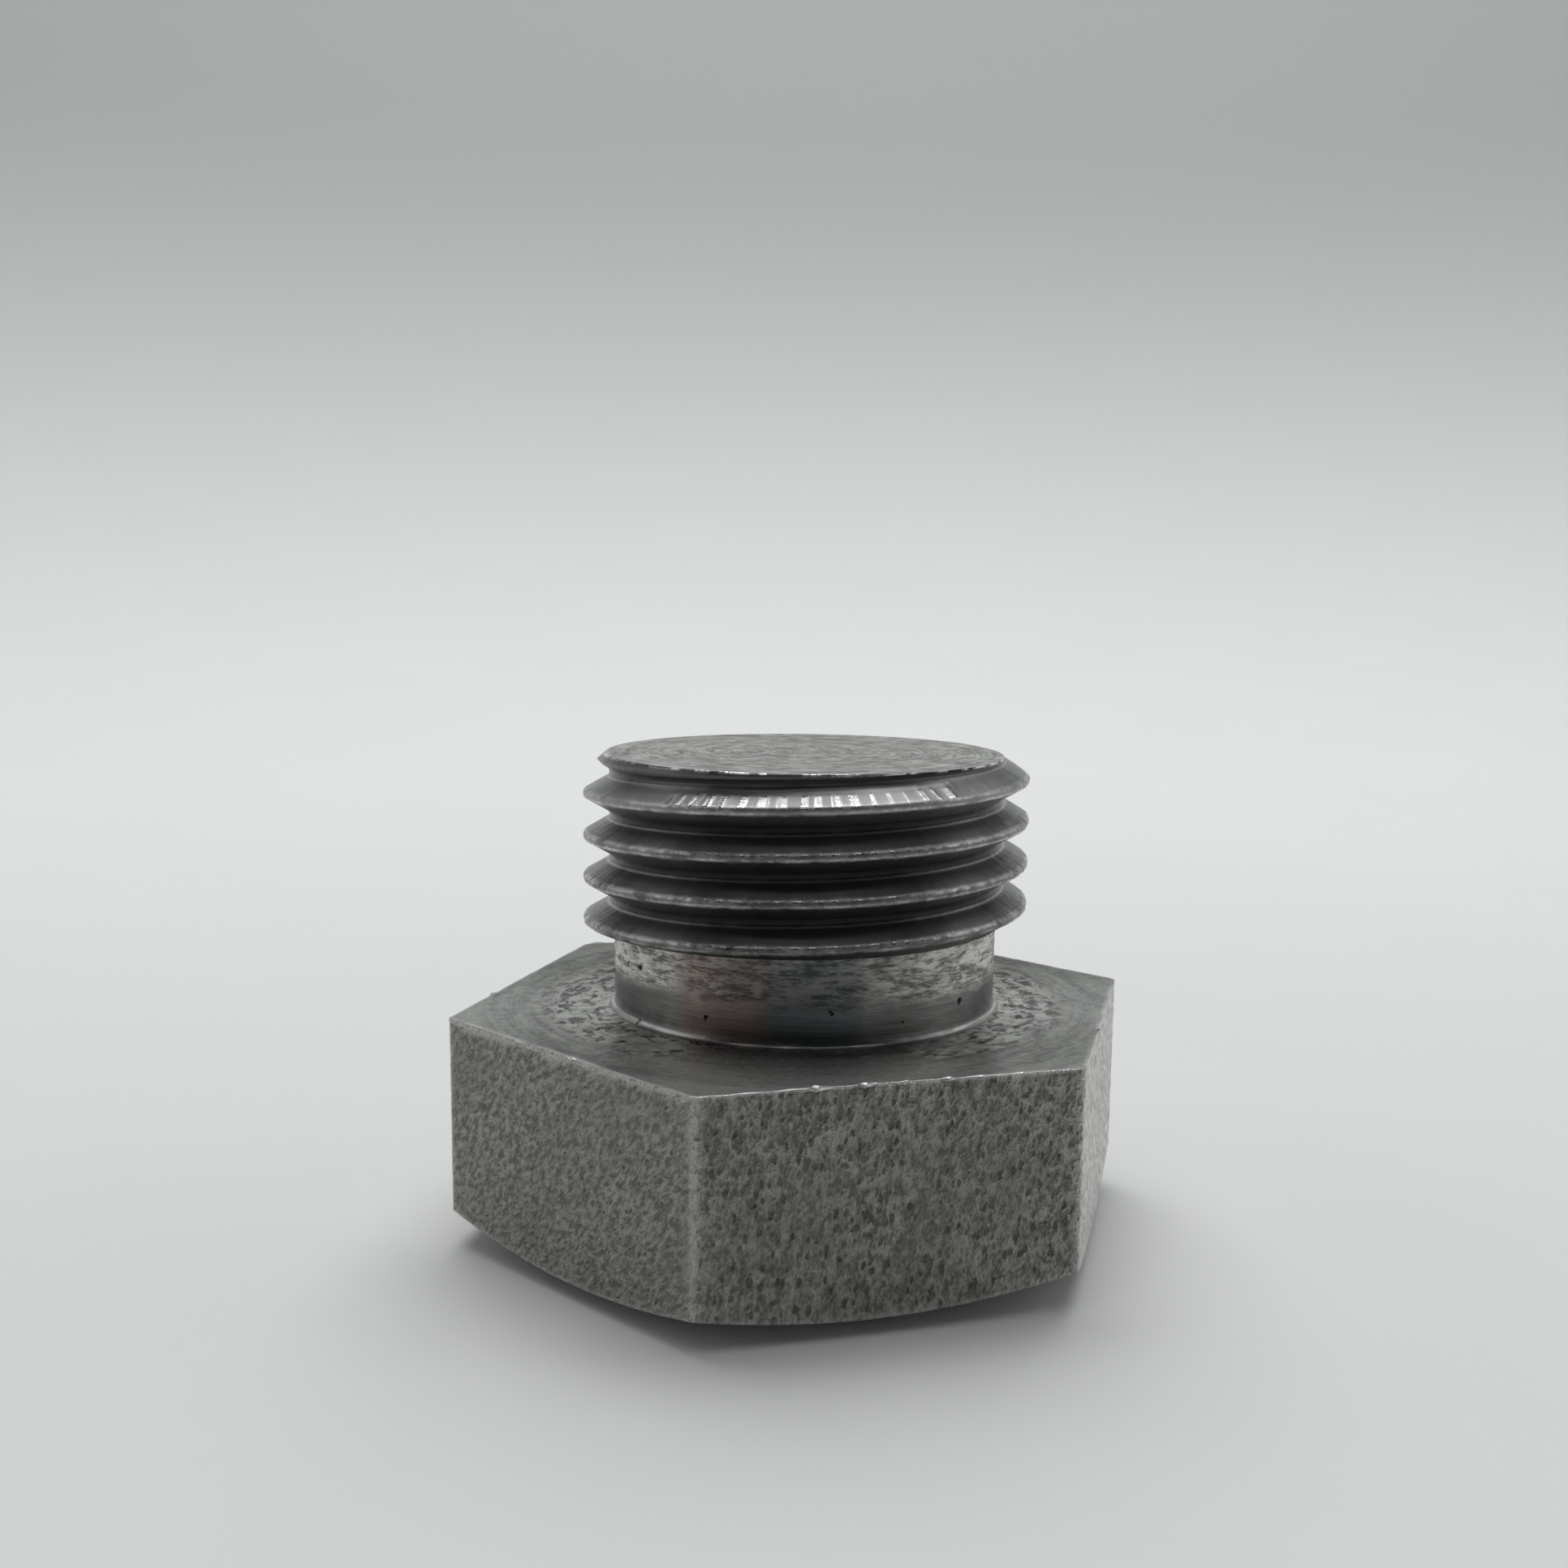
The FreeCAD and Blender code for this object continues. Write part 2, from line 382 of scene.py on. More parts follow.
def skin_mesh(skin, name):
    """The stacked rings as one closed mesh, with its regions, worn places with painted highlights, and a map
    for baking.
    """
    grid = np.array(skin.rings)
    sit_off_centre(grid)
    wear = np.array(skin.wear)
    count, columns = grid.shape[:2]
    keys = np.round(grid.reshape(-1, 3) * 1e5).astype(np.int64)
    _, first, same = np.unique(keys, axis=0, return_index=True, return_inverse=True)
    same = same.reshape(count, columns)
    points = grid.reshape(-1, 3)[first] * MM

    row, col = np.meshgrid(np.arange(count - 1), np.arange(columns - 1), indexing="ij")
    row, col = row.ravel(), col.ravel()
    corner_rows = np.stack([row, row, row + 1, row + 1], axis=1)
    corner_cols = np.stack([col, col + 1, col + 1, col], axis=1)
    quads = same[corner_rows, corner_cols]

    faces, loops_row, loops_col, region = [], [], [], []
    for k, quad in enumerate(quads.tolist()):
        keep = [i for i in range(4) if quad[i] != quad[i - 1]]
        if len({quad[i] for i in keep}) < 3:
            continue
        faces.append([quad[i] for i in keep])
        loops_row.extend(corner_rows[k, keep])
        loops_col.extend(corner_cols[k, keep])
        region.append(REGIONS.index(skin.regions[corner_rows[k, 2]]))

    mesh = bpy.data.meshes.new(name)
    mesh.from_pydata(points.tolist(), [], faces)
    mesh.polygons.foreach_set("material_index", region)
    mesh.polygons.foreach_set("use_smooth", [True] * len(faces))
    attribute = mesh.attributes.new("wear", "FLOAT", "POINT")
    attribute.data.foreach_set("value", wear.reshape(-1)[first])
    loops_row, loops_col = np.array(loops_row), np.array(loops_col)
    add_grain(mesh, grid, loops_row, loops_col)
    add_bake_map(mesh, skin, grid, loops_row, loops_col, region)
    mesh.validate()
    mesh.update()
    return mesh


def first_column(mesh, cols):
    """The lower column of each face, repeated for every corner of the face."""
    starts = np.array([poly.loop_start for poly in mesh.polygons])
    sizes = np.array([poly.loop_total for poly in mesh.polygons])
    return np.repeat(np.minimum.reduceat(cols, starts), sizes)


def add_grain(mesh, grid, rows, cols):
    """Place on the unrolled flat, sheared so that upright grain leans, and that flat's painted sheen and
    dimples.
    """
    side = side_of(ANGLE[first_column(mesh, cols)])
    within = ANGLE[cols] - (side + 0.5) * SECTOR
    height = grid[rows, cols, 2]
    slant, squeeze, rubbed, dimpled, _ = np.array(FLATS).T
    along = FLAT_REACH * np.tan(within) - height * np.tan(np.radians(slant))[side]
    attribute = mesh.attributes.new("grain", "FLOAT_VECTOR", "CORNER")
    place = np.stack([along, height * squeeze[side], side * 7.0], axis=1)
    attribute.data.foreach_set("vector", place.ravel())
    for name, amount in (("rubbed", rubbed), ("dimpled", dimpled)):
        attribute = mesh.attributes.new(name, "FLOAT", "CORNER")
        attribute.data.foreach_set("value", amount[side])


def add_bake_map(mesh, skin, grid, rows, cols, region):
    """Flats in two half-turn strips, thread and neck in one strip each, faces as discs."""
    regions = np.array([REGIONS.index(name) for name in skin.regions])
    region = np.repeat(region, [poly.loop_total for poly in mesh.polygons])
    first_cols = first_column(mesh, cols)
    share = np.zeros(len(regions))
    for name in STRIPS:
        own = np.flatnonzero(regions == REGIONS.index(name))
        share[own] = (np.arange(len(own)) + 1) / len(own)
    uv = np.zeros((len(rows), 2))
    for index, name in enumerate(REGIONS):
        mask = region == index
        if name in STRIPS:
            angle, first = ANGLE[cols[mask]], ANGLE[first_cols[mask]]
            along = np.where(regions[rows[mask]] == index, share[rows[mask]], 0.0)
            uv[mask] = np.stack(STRIPS[name](angle, along, first), axis=1)
        else:
            u, v, grow = DISCS[name]
            place = grid[rows[mask], cols[mask], :2] * (DISC_SIZE * grow / DISC_SPAN)
            uv[mask] = place * np.array([1, -1 if name in ("free_face", "bevel") else 1]) + (u, v)
    layer = mesh.uv_layers.new(name="OFBake")
    layer.uv.foreach_set("vector", uv.astype(np.float32).ravel())


# ---------------------------------------------------------------- materials
class Nodes:
    """A material's node tree, written as short calls that each return an output socket."""

    def __init__(self, name):
        self.material = bpy.data.materials.new(name)
        self.material.use_nodes = True
        self.tree = self.material.node_tree
        self.tree.nodes.clear()
        self.output = self.tree.nodes.new("ShaderNodeOutputMaterial")
        self.shader = self.tree.nodes.new("ShaderNodeBsdfPrincipled")
        self.tree.links.new(self.shader.outputs[0], self.output.inputs[0])
        place = self.add("ShaderNodeTexCoord").outputs["Object"]
        self.place = self.vector("SCALE", place, scale=1 / MM)

    def add(self, kind, **settings):
        node = self.tree.nodes.new(kind)
        for key, value in settings.items():
            setattr(node, key, value)
        return node

    def feed(self, socket, value):
        """Sets a socket to a number or colour, or links another socket to it."""
        if isinstance(value, bpy.types.NodeSocket):
            self.tree.links.new(value, socket)
        else:
            socket.default_value = value

    def math(self, operation, *values, clamp=False):
        node = self.add("ShaderNodeMath", operation=operation, use_clamp=clamp)
        for socket, value in zip(node.inputs, values):
            self.feed(socket, value)
        return node.outputs[0]

    def times(self, first, *others):
        for other in others:
            first = self.math("MULTIPLY", first, other)
        return first

    def plus(self, first, *others):
        for other in others:
            first = self.math("ADD", first, other)
        return first

    def minus(self, value, less):
        return self.math("SUBTRACT", value, less)

    def weighted(self, *pairs):
        """Sum of value times weight over the pairs."""
        return self.plus(*(self.times(value, weight) for value, weight in pairs))

    def vector(self, operation, *values, scale=None):
        node = self.add("ShaderNodeVectorMath", operation=operation)
        for socket, value in zip(node.inputs, values):
            self.feed(socket, value)
        if scale is not None:
            self.feed(node.inputs["Scale"], scale)
        return node.outputs["Value" if operation in ("LENGTH", "DOT_PRODUCT") else "Vector"]

    def noise(self, place, scale, detail=2.0, rough=0.5, distortion=0.0):
        node = self.add("ShaderNodeTexNoise")
        self.feed(node.inputs["Vector"], place)
        for key, value in (
            ("Scale", scale), ("Detail", detail), ("Roughness", rough), ("Distortion", distortion)
        ):
            self.feed(node.inputs[key], value)
        return node.outputs[0]

    def cells(self, place, scale):
        """Distance to the nearest of scattered points, in cells."""
        node = self.add("ShaderNodeTexVoronoi")
        self.feed(node.inputs["Vector"], place)
        self.feed(node.inputs["Scale"], scale)
        return node.outputs["Distance"]

    def range(self, value, low, high, to_low=0.0, to_high=1.0):
        """An eased step from to_low to to_high as value goes from low to high."""
        node = self.add("ShaderNodeMapRange", interpolation_type="SMOOTHSTEP")
        for socket, given in zip(node.inputs, (value, low, high, to_low, to_high)):
            self.feed(socket, given)
        return node.outputs[0]

    def mix(self, share, low, high):
        """Colour low where share is 0 and colour high where it is 1."""
        node = self.add("ShaderNodeMix", data_type="RGBA")
        self.feed(node.inputs[0], share)
        self.feed(node.inputs[6], low if isinstance(low, bpy.types.NodeSocket) else (*low, 1))
        self.feed(node.inputs[7], high if isinstance(high, bpy.types.NodeSocket) else (*high, 1))
        return node.outputs[2]

    def stretched(self, place, x, y, z):
        return self.vector("MULTIPLY", place, (x, y, z))

    def attribute(self, name, output):
        return self.add("ShaderNodeAttribute", attribute_name=name).outputs[output]

    def parts(self):
        """Radius, height and unit direction round the axis, in millimetres."""
        split = self.add("ShaderNodeSeparateXYZ")
        self.feed(split.inputs[0], self.place)
        level = self.vector("MULTIPLY", self.place, (1, 1, 0))
        radius = self.vector("LENGTH", level)
        around = self.vector("NORMALIZE", level)
        return radius, split.outputs[2], around

    def turned(self, around, across, up):
        """A place for noise with its own number of features per turn, per mm of radius and of height."""
        radius, height, unit = self.parts()
        rise = self.weighted((radius, across), (height, up))
        lift = self.add("ShaderNodeCombineXYZ")
        self.feed(lift.inputs[2], rise)
        return self.vector("ADD", self.vector("SCALE", unit, scale=around), lift.outputs[0])

    def bump(self, height, depth_mm):
        """Bump whose height 0 to 1 stands for depth_mm. Calls stack on one another."""
        node = self.add("ShaderNodeBump")
        self.feed(node.inputs["Distance"], depth_mm * MM)
        self.feed(node.inputs["Height"], height)
        old = self.shader.inputs["Normal"]
        if old.is_linked:
            self.tree.links.new(old.links[0].from_socket, node.inputs["Normal"])
        self.tree.links.new(node.outputs[0], old)

    def brushed(self, amount):
        """Tool marks that run round the axis stretch reflections across them."""
        self.shader.inputs["Anisotropic"].default_value = amount
        self.shader.inputs["Anisotropic Rotation"].default_value = 0.25
        tangent = self.add("ShaderNodeTangent", direction_type="RADIAL", axis="Z")
        self.feed(self.shader.inputs["Tangent"], tangent.outputs[0])

    def finish(self, colour, roughness, metallic=1.0):
        self.feed(self.shader.inputs["Base Color"], colour)
        self.feed(self.shader.inputs["Roughness"], roughness)
        self.feed(self.shader.inputs["Metallic"], metallic)
        return self.material


# Patches round the axis, each a middle and a half width in degrees: where the tool tore the shoulder
# beside the neck, where it chattered on the thread, and where the thread's flanks carry a painted sheen of
# reflected light.
TORN_PATCHES = ((168, 62), (344, 58), (70, 40))
CHATTER_PATCHES = ((257, 46), (95, 60))
SHEEN_PATCHES = ((258, 62), (95, 60))

# Painted reflections of coloured things, as tints round the neck: middle, half width, colour.
REFLECTION_TINTS = (
    (-130, 17, (0.24, 0.115, 0.095)), (-103, 16, (0.06, 0.105, 0.125)), (-20, 14, (0.22, 0.13, 0.10)),
    (40, 18, (0.07, 0.11, 0.12)), (118, 15, (0.24, 0.12, 0.09)), (150, 16, (0.06, 0.10, 0.13)),
)


def near_angle(n, middle, half, core, ragged=0.0):
    """1 within core times half of an angle round the axis, 0 past half. Ragged moves the border."""
    _, _, unit = n.parts()
    a = math.radians(middle)
    facing = n.vector("DOT_PRODUCT", unit, (math.cos(a), math.sin(a), 0))
    return n.range(n.plus(facing, ragged), math.cos(math.radians(half)), math.cos(math.radians(core * half)))


def near_patches(n, patches, ragged=0.0):
    """1 in any of the patches, falling to 0 round them."""
    share = 0.0
    for middle, half in patches:
        share = n.math("MAXIMUM", share, near_angle(n, middle, half, 0.6, ragged))
    return share


def bar_skin():
    """Rolled and blasted skin of the bar: mottled dark grey, dimpled, worn on its edges and lit there by a
    painted highlight, with a painted sheen on some flats.
    """
    dark, light = (0.175, 0.172, 0.161), (0.45, 0.445, 0.419)
    sheen_dark, sheen_light = (0.42, 0.415, 0.40), (0.95, 0.945, 0.92)
    stain, pit, worn_lit_steel = (0.24, 0.236, 0.222), (0.085, 0.083, 0.08), (0.60, 0.595, 0.58)
    n = Nodes("bar_skin")
    grain = n.attribute("grain", "Vector")
    wear = n.attribute("wear", "Fac")
    rubbed = n.attribute("rubbed", "Fac")
    dimpled = n.attribute("dimpled", "Fac")
    coarse = n.noise(grain, 4.2, 2.0, 0.55, 0.15)
    fine = n.noise(grain, 9.5, 2.0, 0.6)
    broad = n.noise(grain, 0.5, 2.0, 0.5)
    tone = n.weighted((coarse, 0.6), (fine, 0.4))
    contrast = n.range(tone, 0.36, 0.64)

    # Dimples are cells with an uneven outline, whose size drifts over the flat.
    size = n.times(n.minus(n.noise(grain, 1.1, 2.0), 0.46), 0.36)
    size = n.plus(size, n.range(dimpled, 0.0, 1.0, -0.12, 0.06))
    outline = n.times(n.minus(fine, 0.5), 0.34)
    dents = n.range(n.minus(n.plus(n.cells(grain, 3.1), outline), size), 0.08, 0.24, 1.0, 0.0)

    colour = n.mix(contrast, dark, light)
    colour = n.mix(n.range(broad, 0.35, 0.7, 0.0, 0.35), colour, stain)
    # Painted sheen: a painted reflection that lightens whole flats.
    colour = n.mix(n.times(rubbed, 0.75), colour, n.mix(contrast, sheen_dark, sheen_light))
    colour = n.mix(n.times(dents, 0.62), colour, pit)
    # Worn edges and corners, lightened further by a painted highlight.
    worn = n.math("MULTIPLY", wear, n.range(fine, 0.25, 0.6, 0.45, 1.0), clamp=True)
    colour = n.mix(n.times(worn, 0.8), colour, worn_lit_steel)
    ridges = n.noise(n.stretched(grain, 1.5, 9.0, 1.0), 1.0, 1.0, 0.5)
    n.bump(tone, 0.36)
    n.bump(n.minus(1.0, dents), 0.05)
    n.bump(n.times(ridges, wear), 0.06)
    rough = n.minus(0.56, n.times(n.math("MAXIMUM", worn, rubbed), 0.20))
    return n.finish(colour, rough, 0.9)


def turned_face(name, torn_low, torn_high, bright):
    """Faced with a tool: fine rings, broad arcs and, in places near the neck, torn dashes.

    The tearing is full inside the radius torn_low and gone past torn_high.
    """
    dark, polished = (tuple(share * part for part in bright) for share in (0.45, 1.45))
    torn_floor, rolled_steel, worn_lit_steel = (0.045, 0.036, 0.030), (0.55, 0.55, 0.53), (0.90, 0.90, 0.89)
    n = Nodes(name)
    radius, _, _ = n.parts()
    wear = n.attribute("wear", "Fac")
    rings = n.noise(n.turned(1.6, 8.0, 0.0), 1.0, 3.0, 0.7)
    arcs = n.noise(n.turned(5.0, 1.7, 0.0), 1.0, 3.0, 0.6, 0.5)
    mottle = n.noise(n.place, 3.2, 3.0, 0.65, 0.5)
    dashes = n.noise(n.turned(12.0, 2.6, 0.0), 1.0, 2.0, 0.6, 0.8)
    blotch = n.noise(n.place, 0.9, 2.0, 0.5)
    tone = n.weighted((rings, 0.30), (arcs, 0.35), (mottle, 0.35))

    patch = near_patches(n, TORN_PATCHES, n.range(blotch, 0.3, 0.6, -0.25, 0.25))
    near_neck = n.times(n.range(radius, torn_high, torn_low), n.math("MAXIMUM", patch, 0.25))
    torn = n.times(near_neck, n.range(blotch, 0.30, 0.44), n.range(dashes, 0.54, 0.575))
    polish = n.times(n.range(near_neck, 0.3, 0.8), n.range(dashes, 0.54, 0.44))

    colour = n.mix(n.range(tone, 0.38, 0.62), dark, bright)
    colour = n.mix(n.times(polish, 0.7), colour, polished)
    colour = n.mix(n.times(torn, 0.92), colour, torn_floor)
    rolled = n.plus(radius, n.times(n.noise(n.place, 1.2, 2.0), 1.2))
    colour = n.mix(n.range(rolled, 11.7, 12.1, 0.0, 0.35), colour, rolled_steel)
    # The worn lip of the edge is lit by a painted highlight.
    colour = n.mix(n.times(wear, 0.9), colour, worn_lit_steel)
    n.bump(tone, 0.03)
    n.bump(n.minus(1.0, torn), 0.06)
    n.brushed(0.95)
    return n.finish(colour, n.range(tone, 0.3, 0.7, 0.36, 0.25))


def neck_steel():
    """Neck under the thread: torn and streaky above, smooth below, with painted reflections as coloured
    tints.
    """
    torn_dark, torn_light = (0.22, 0.215, 0.203), (0.88, 0.87, 0.827)
    smooth_dark, smooth_light = (0.19, 0.19, 0.186), (0.28, 0.28, 0.273)
    stain, pit, lit_edge = (0.20, 0.19, 0.178), (0.012, 0.011, 0.010), (0.80, 0.80, 0.78)
    n = Nodes("neck_steel")
    _, height, _ = n.parts()
    wear = n.attribute("wear", "Fac")
    wavy_height = n.plus(height, n.times(n.noise(n.turned(6.0, 0.0, 1.0), 1.0), 0.7))
    upper = n.range(wavy_height, SHOULDER + 1.55, SHOULDER + 2.15)
    broad = n.noise(n.turned(6.0, 0.0, 4.5), 1.0, 3.0, 0.6, 0.3)
    scratch = n.noise(n.turned(26.0, 0.0, 15.0), 1.0, 3.0, 0.7)
    streaks = n.weighted((broad, 0.55), (scratch, 0.45))
    fine = n.noise(n.turned(3.0, 0.0, 20.0), 1.0, 2.0, 0.6)
    patches = n.noise(n.turned(6.0, 0.0, 1.3), 1.0, 2.0, 0.5)

    smooth_tone = n.mix(n.range(fine, 0.35, 0.65), smooth_dark, smooth_light)
    torn_tone = n.mix(n.range(streaks, 0.39, 0.58), torn_dark, torn_light)
    colour = n.mix(upper, smooth_tone, torn_tone)
    colour = n.mix(n.range(patches, 0.45, 0.7, 0.0, 0.35), colour, stain)
    # Painted reflections: coloured tints that stand for reflected coloured things.
    for middle, half, tint in REFLECTION_TINTS:
        colour = n.mix(n.times(near_angle(n, middle, half, 0.5), 0.42), colour, tint)
    outline = n.times(n.minus(n.noise(n.place, 5.0, 2.0), 0.5), 0.28)
    pits = n.range(n.plus(n.cells(n.place, 0.85), outline), 0.065, 0.11, 1.0, 0.0)
    colour = n.mix(pits, colour, pit)
    # Painted glint along the corner radius.
    glint = n.times(wear, n.range(n.noise(n.turned(5.0, 0.0, 2.0), 1.0), 0.38, 0.6, 0.25, 1.0))
    colour = n.mix(n.times(glint, 0.9), colour, lit_edge)
    n.bump(n.times(n.minus(streaks, 0.5), n.plus(upper, 0.15)), 0.09)
    n.bump(n.minus(1.0, pits), 0.08)
    n.brushed(0.8)
    return n.finish(colour, n.range(upper, 0.0, 1.0, 0.26, 0.5))


def above_crest(n):
    """How far a point is above the middle of the nearest crest, and its angle round the axis."""
    split = n.add("ShaderNodeSeparateXYZ")
    n.feed(split.inputs[0], n.place)
    angle = n.math("ARCTAN2", split.outputs[1], split.outputs[0])
    climb = n.times(angle, PITCH / (2 * math.pi))
    rise = n.minus(n.minus(split.outputs[2], FIRST_CREST), climb)
    return n.math("WRAP", rise, PITCH / 2, -PITCH / 2), angle


def chatter_marks(n, angle):
    """Uneven bars across the flanks, as a chattering tool leaves them, near 0.5 on average."""
    wobble = n.times(n.noise(n.turned(7.0, 0.2, 0.2), 1.0, 2.0), 9.0)
    wave = n.math("SINE", n.plus(n.times(angle, 82.0), wobble))
    bars = n.noise(n.turned(24.0, 0.3, 0.3), 1.0, 2.0, 0.55, 0.3)
    return n.plus(n.weighted((bars, 0.6), (wave, 0.09)), 0.2)


def thread_steel():
    """Single-point thread: chattered flanks, grooves darkened by painted shade, painted highlight lines at
    the roots and torn crests lightened by a painted highlight.
    """
    oily, dry, first_turn_light = (0.115, 0.115, 0.112), (0.25, 0.25, 0.245), (0.40, 0.40, 0.392)
    sheen_steel, glint_steel, rim_glint = (0.66, 0.66, 0.65), (0.90, 0.90, 0.89), (0.90, 0.90, 0.88)
    groove_shade, underside_shade, root_shade = (0.062, 0.063, 0.066), (0.040, 0.040, 0.042), (0.020, 0.020, 0.022)
    root_highlight, crest_highlight = (0.45, 0.45, 0.44), (0.70, 0.70, 0.68)
    n = Nodes("thread_steel")
    _, height, _ = n.parts()
    offset, angle = above_crest(n)
    from_crest = n.math("ABSOLUTE", offset)
    rings = n.noise(n.turned(3.0, 10.0, 6.0), 1.0, 3.0, 0.6)
    smear = n.noise(n.turned(10.0, 2.0, 1.5), 1.0, 3.0, 0.6, 0.4)
    ragged = n.noise(n.place, 6.0, 2.0, 0.6)
    tone = n.weighted((rings, 0.5), (smear, 0.5))

    # Chatter marks cross the first turn's upper flank and the lips just above the other crests. Their bright
    # colour is a painted glint.
    first_turn = n.range(height, TOP - 1.9, TOP - 1.4)
    chattered = near_patches(n, CHATTER_PATCHES)
    flank = n.times(n.range(offset, 0.08, 0.12), n.range(offset, 0.40, 0.50, 1.0, 0.0))
    first_flank = n.times(first_turn, flank, chattered)
    lip = n.times(n.range(offset, 0.03, 0.05), n.range(offset, 0.12, 0.15, 1.0, 0.0))
    lip = n.times(lip, n.times(chattered, 0.8))
    chatter = chatter_marks(n, angle)
    dashes = n.times(n.math("MAXIMUM", first_flank, lip), n.range(chatter, 0.48, 0.56))

    # Upper flanks: painted lighter on the first turn, which no crest above shades, with a painted sheen of
    # reflected light and the chatter marks over them.
    colour = n.mix(n.range(tone, 0.36, 0.64), oily, dry)
    colour = n.mix(n.times(first_turn, 0.4), colour, first_turn_light)
    # Painted sheen: reflected light painted onto the upper flanks in two patches.
    rubbed = n.times(near_patches(n, SHEEN_PATCHES), n.range(offset, 0.08, 0.12))
    rubbed = n.times(rubbed, n.range(first_turn, 0.0, 1.0, 0.4, 0.85))
    rubbed = n.times(rubbed, n.range(first_flank, 0.0, 1.0, 1.0, 0.45))
    colour = n.mix(rubbed, colour, sheen_steel)
    # Painted glint on the chatter marks.
    colour = n.mix(n.times(dashes, 0.75), colour, glint_steel)

    # Grooves: painted shade darkens them with depth and on the undersides, and a painted highlight draws a
    # thin bright line above each root.
    shade = n.range(from_crest, 0.14, 0.52, 0.0, 0.80)
    shade = n.times(shade, n.range(first_turn, 0.0, 1.0, 1.0, 0.35))
    colour = n.mix(shade, colour, groove_shade)
    colour = n.mix(n.range(offset, -0.20, -0.12, 0.45, 0.0), colour, underside_shade)
    colour = n.mix(n.range(from_crest, 0.57, 0.62, 0.0, 0.75), colour, root_shade)
    root = n.math("ABSOLUTE", n.minus(offset, 0.60))
    colour = n.mix(n.range(root, 0.015, 0.045, 0.8, 0.0), colour, root_highlight)

    # Crests: torn along both edges, which a painted highlight lightens. The rim of the thread's end is
    # nicked and lit by painted glints.
    edge = n.math("ABSOLUTE", n.minus(from_crest, CREST_HALF + 0.02))
    edge = n.minus(edge, n.times(n.minus(ragged, 0.5), 0.14))
    edge = n.times(n.range(edge, 0.02, 0.09, 1.0, 0.0), n.range(smear, 0.34, 0.62, 0.1, 0.75))
    colour = n.mix(edge, colour, crest_highlight)
    # Painted glints on the nicked rim of the thread's end.
    rim = n.times(n.range(height, TOP - 0.10, TOP - 0.02), n.range(smear, 0.46, 0.56))
    colour = n.mix(n.times(rim, 0.9), colour, rim_glint)

    n.bump(n.times(chatter, first_flank), 0.03)
    n.bump(rings, 0.010)
    n.bump(ragged, 0.003)
    n.brushed(0.85)
    return n.finish(colour, n.range(n.math("MAXIMUM", dashes, rim), 0.0, 1.0, 0.38, 0.20))


def end_steel():
    """Faced thread end: matte, with a soft mottle, a few specks and a nicked rim lit by painted glints."""
    dark, light = (0.31, 0.31, 0.302), (0.87, 0.87, 0.853)
    speck, rim_glint = (0.05, 0.045, 0.04), (0.88, 0.88, 0.87)
    n = Nodes("end_steel")
    wear = n.attribute("wear", "Fac")
    rings = n.noise(n.turned(3.0, 6.0, 0.0), 1.0, 4.0, 0.7)
    mottle = n.noise(n.place, 1.6, 5.0, 0.72, 0.2)
    specks = n.range(n.cells(n.place, 0.42), 0.035, 0.06, 1.0, 0.0)
    slits = n.range(n.cells(n.stretched(n.place, 0.22, 1.6, 1.0), 0.5), 0.03, 0.06, 0.8, 0.0)
    tone = n.weighted((rings, 0.5), (mottle, 0.5))
    colour = n.mix(n.range(tone, 0.38, 0.62), dark, light)
    colour = n.mix(n.math("MAXIMUM", specks, slits), colour, speck)
    # Painted glints on the rim.
    colour = n.mix(n.times(wear, 0.8), colour, rim_glint)
    n.bump(tone, 0.045)
    return n.finish(colour, 0.5)


# ---------------------------------------------------------------- the plug
def make_plug():
    skin = Skin()
    for add_region in (add_free_face, add_flats, add_shoulder, add_neck, add_thread, add_end):
        add_region(skin)
    plug = bpy.data.objects.new("plug_steel", skin_mesh(skin, "plug_steel"))
    bpy.context.scene.collection.objects.link(plug)
    flats = bar_skin()
    free_face = turned_face("turned_free_face", 0.0, 0.1, (0.30, 0.30, 0.29))
    shoulder = turned_face("turned_shoulder", 8.3, 10.4, (0.44, 0.44, 0.427))
    bevel = free_face
    for material in (free_face, bevel, flats, shoulder, neck_steel(), thread_steel(), end_steel()):
        plug.data.materials.append(material)
    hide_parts(NODE)
    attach(plug, "root")


# ---------------------------------------------------------------- stage, light and camera
def paper():
    """Matte paper, faintly mottled, with painted shade that greys it up the wall."""
    dim, pale, wall_shade = (0.86, 0.875, 0.865), (0.90, 0.91, 0.905), (0.40, 0.415, 0.405)
    n = Nodes("pale_paper")
    _, height, _ = n.parts()
    risen = n.math("POWER", n.range(height, 1.0, 150.0), 0.5)
    # Painted shade: the wall greys as it rises.
    colour = n.mix(risen, n.mix(n.noise(n.place, 0.05, 3.0, 0.6), dim, pale), wall_shade)
    n.shader.inputs["Specular IOR Level"].default_value = 0.1
    return n.finish(colour, 0.9, 0.0)


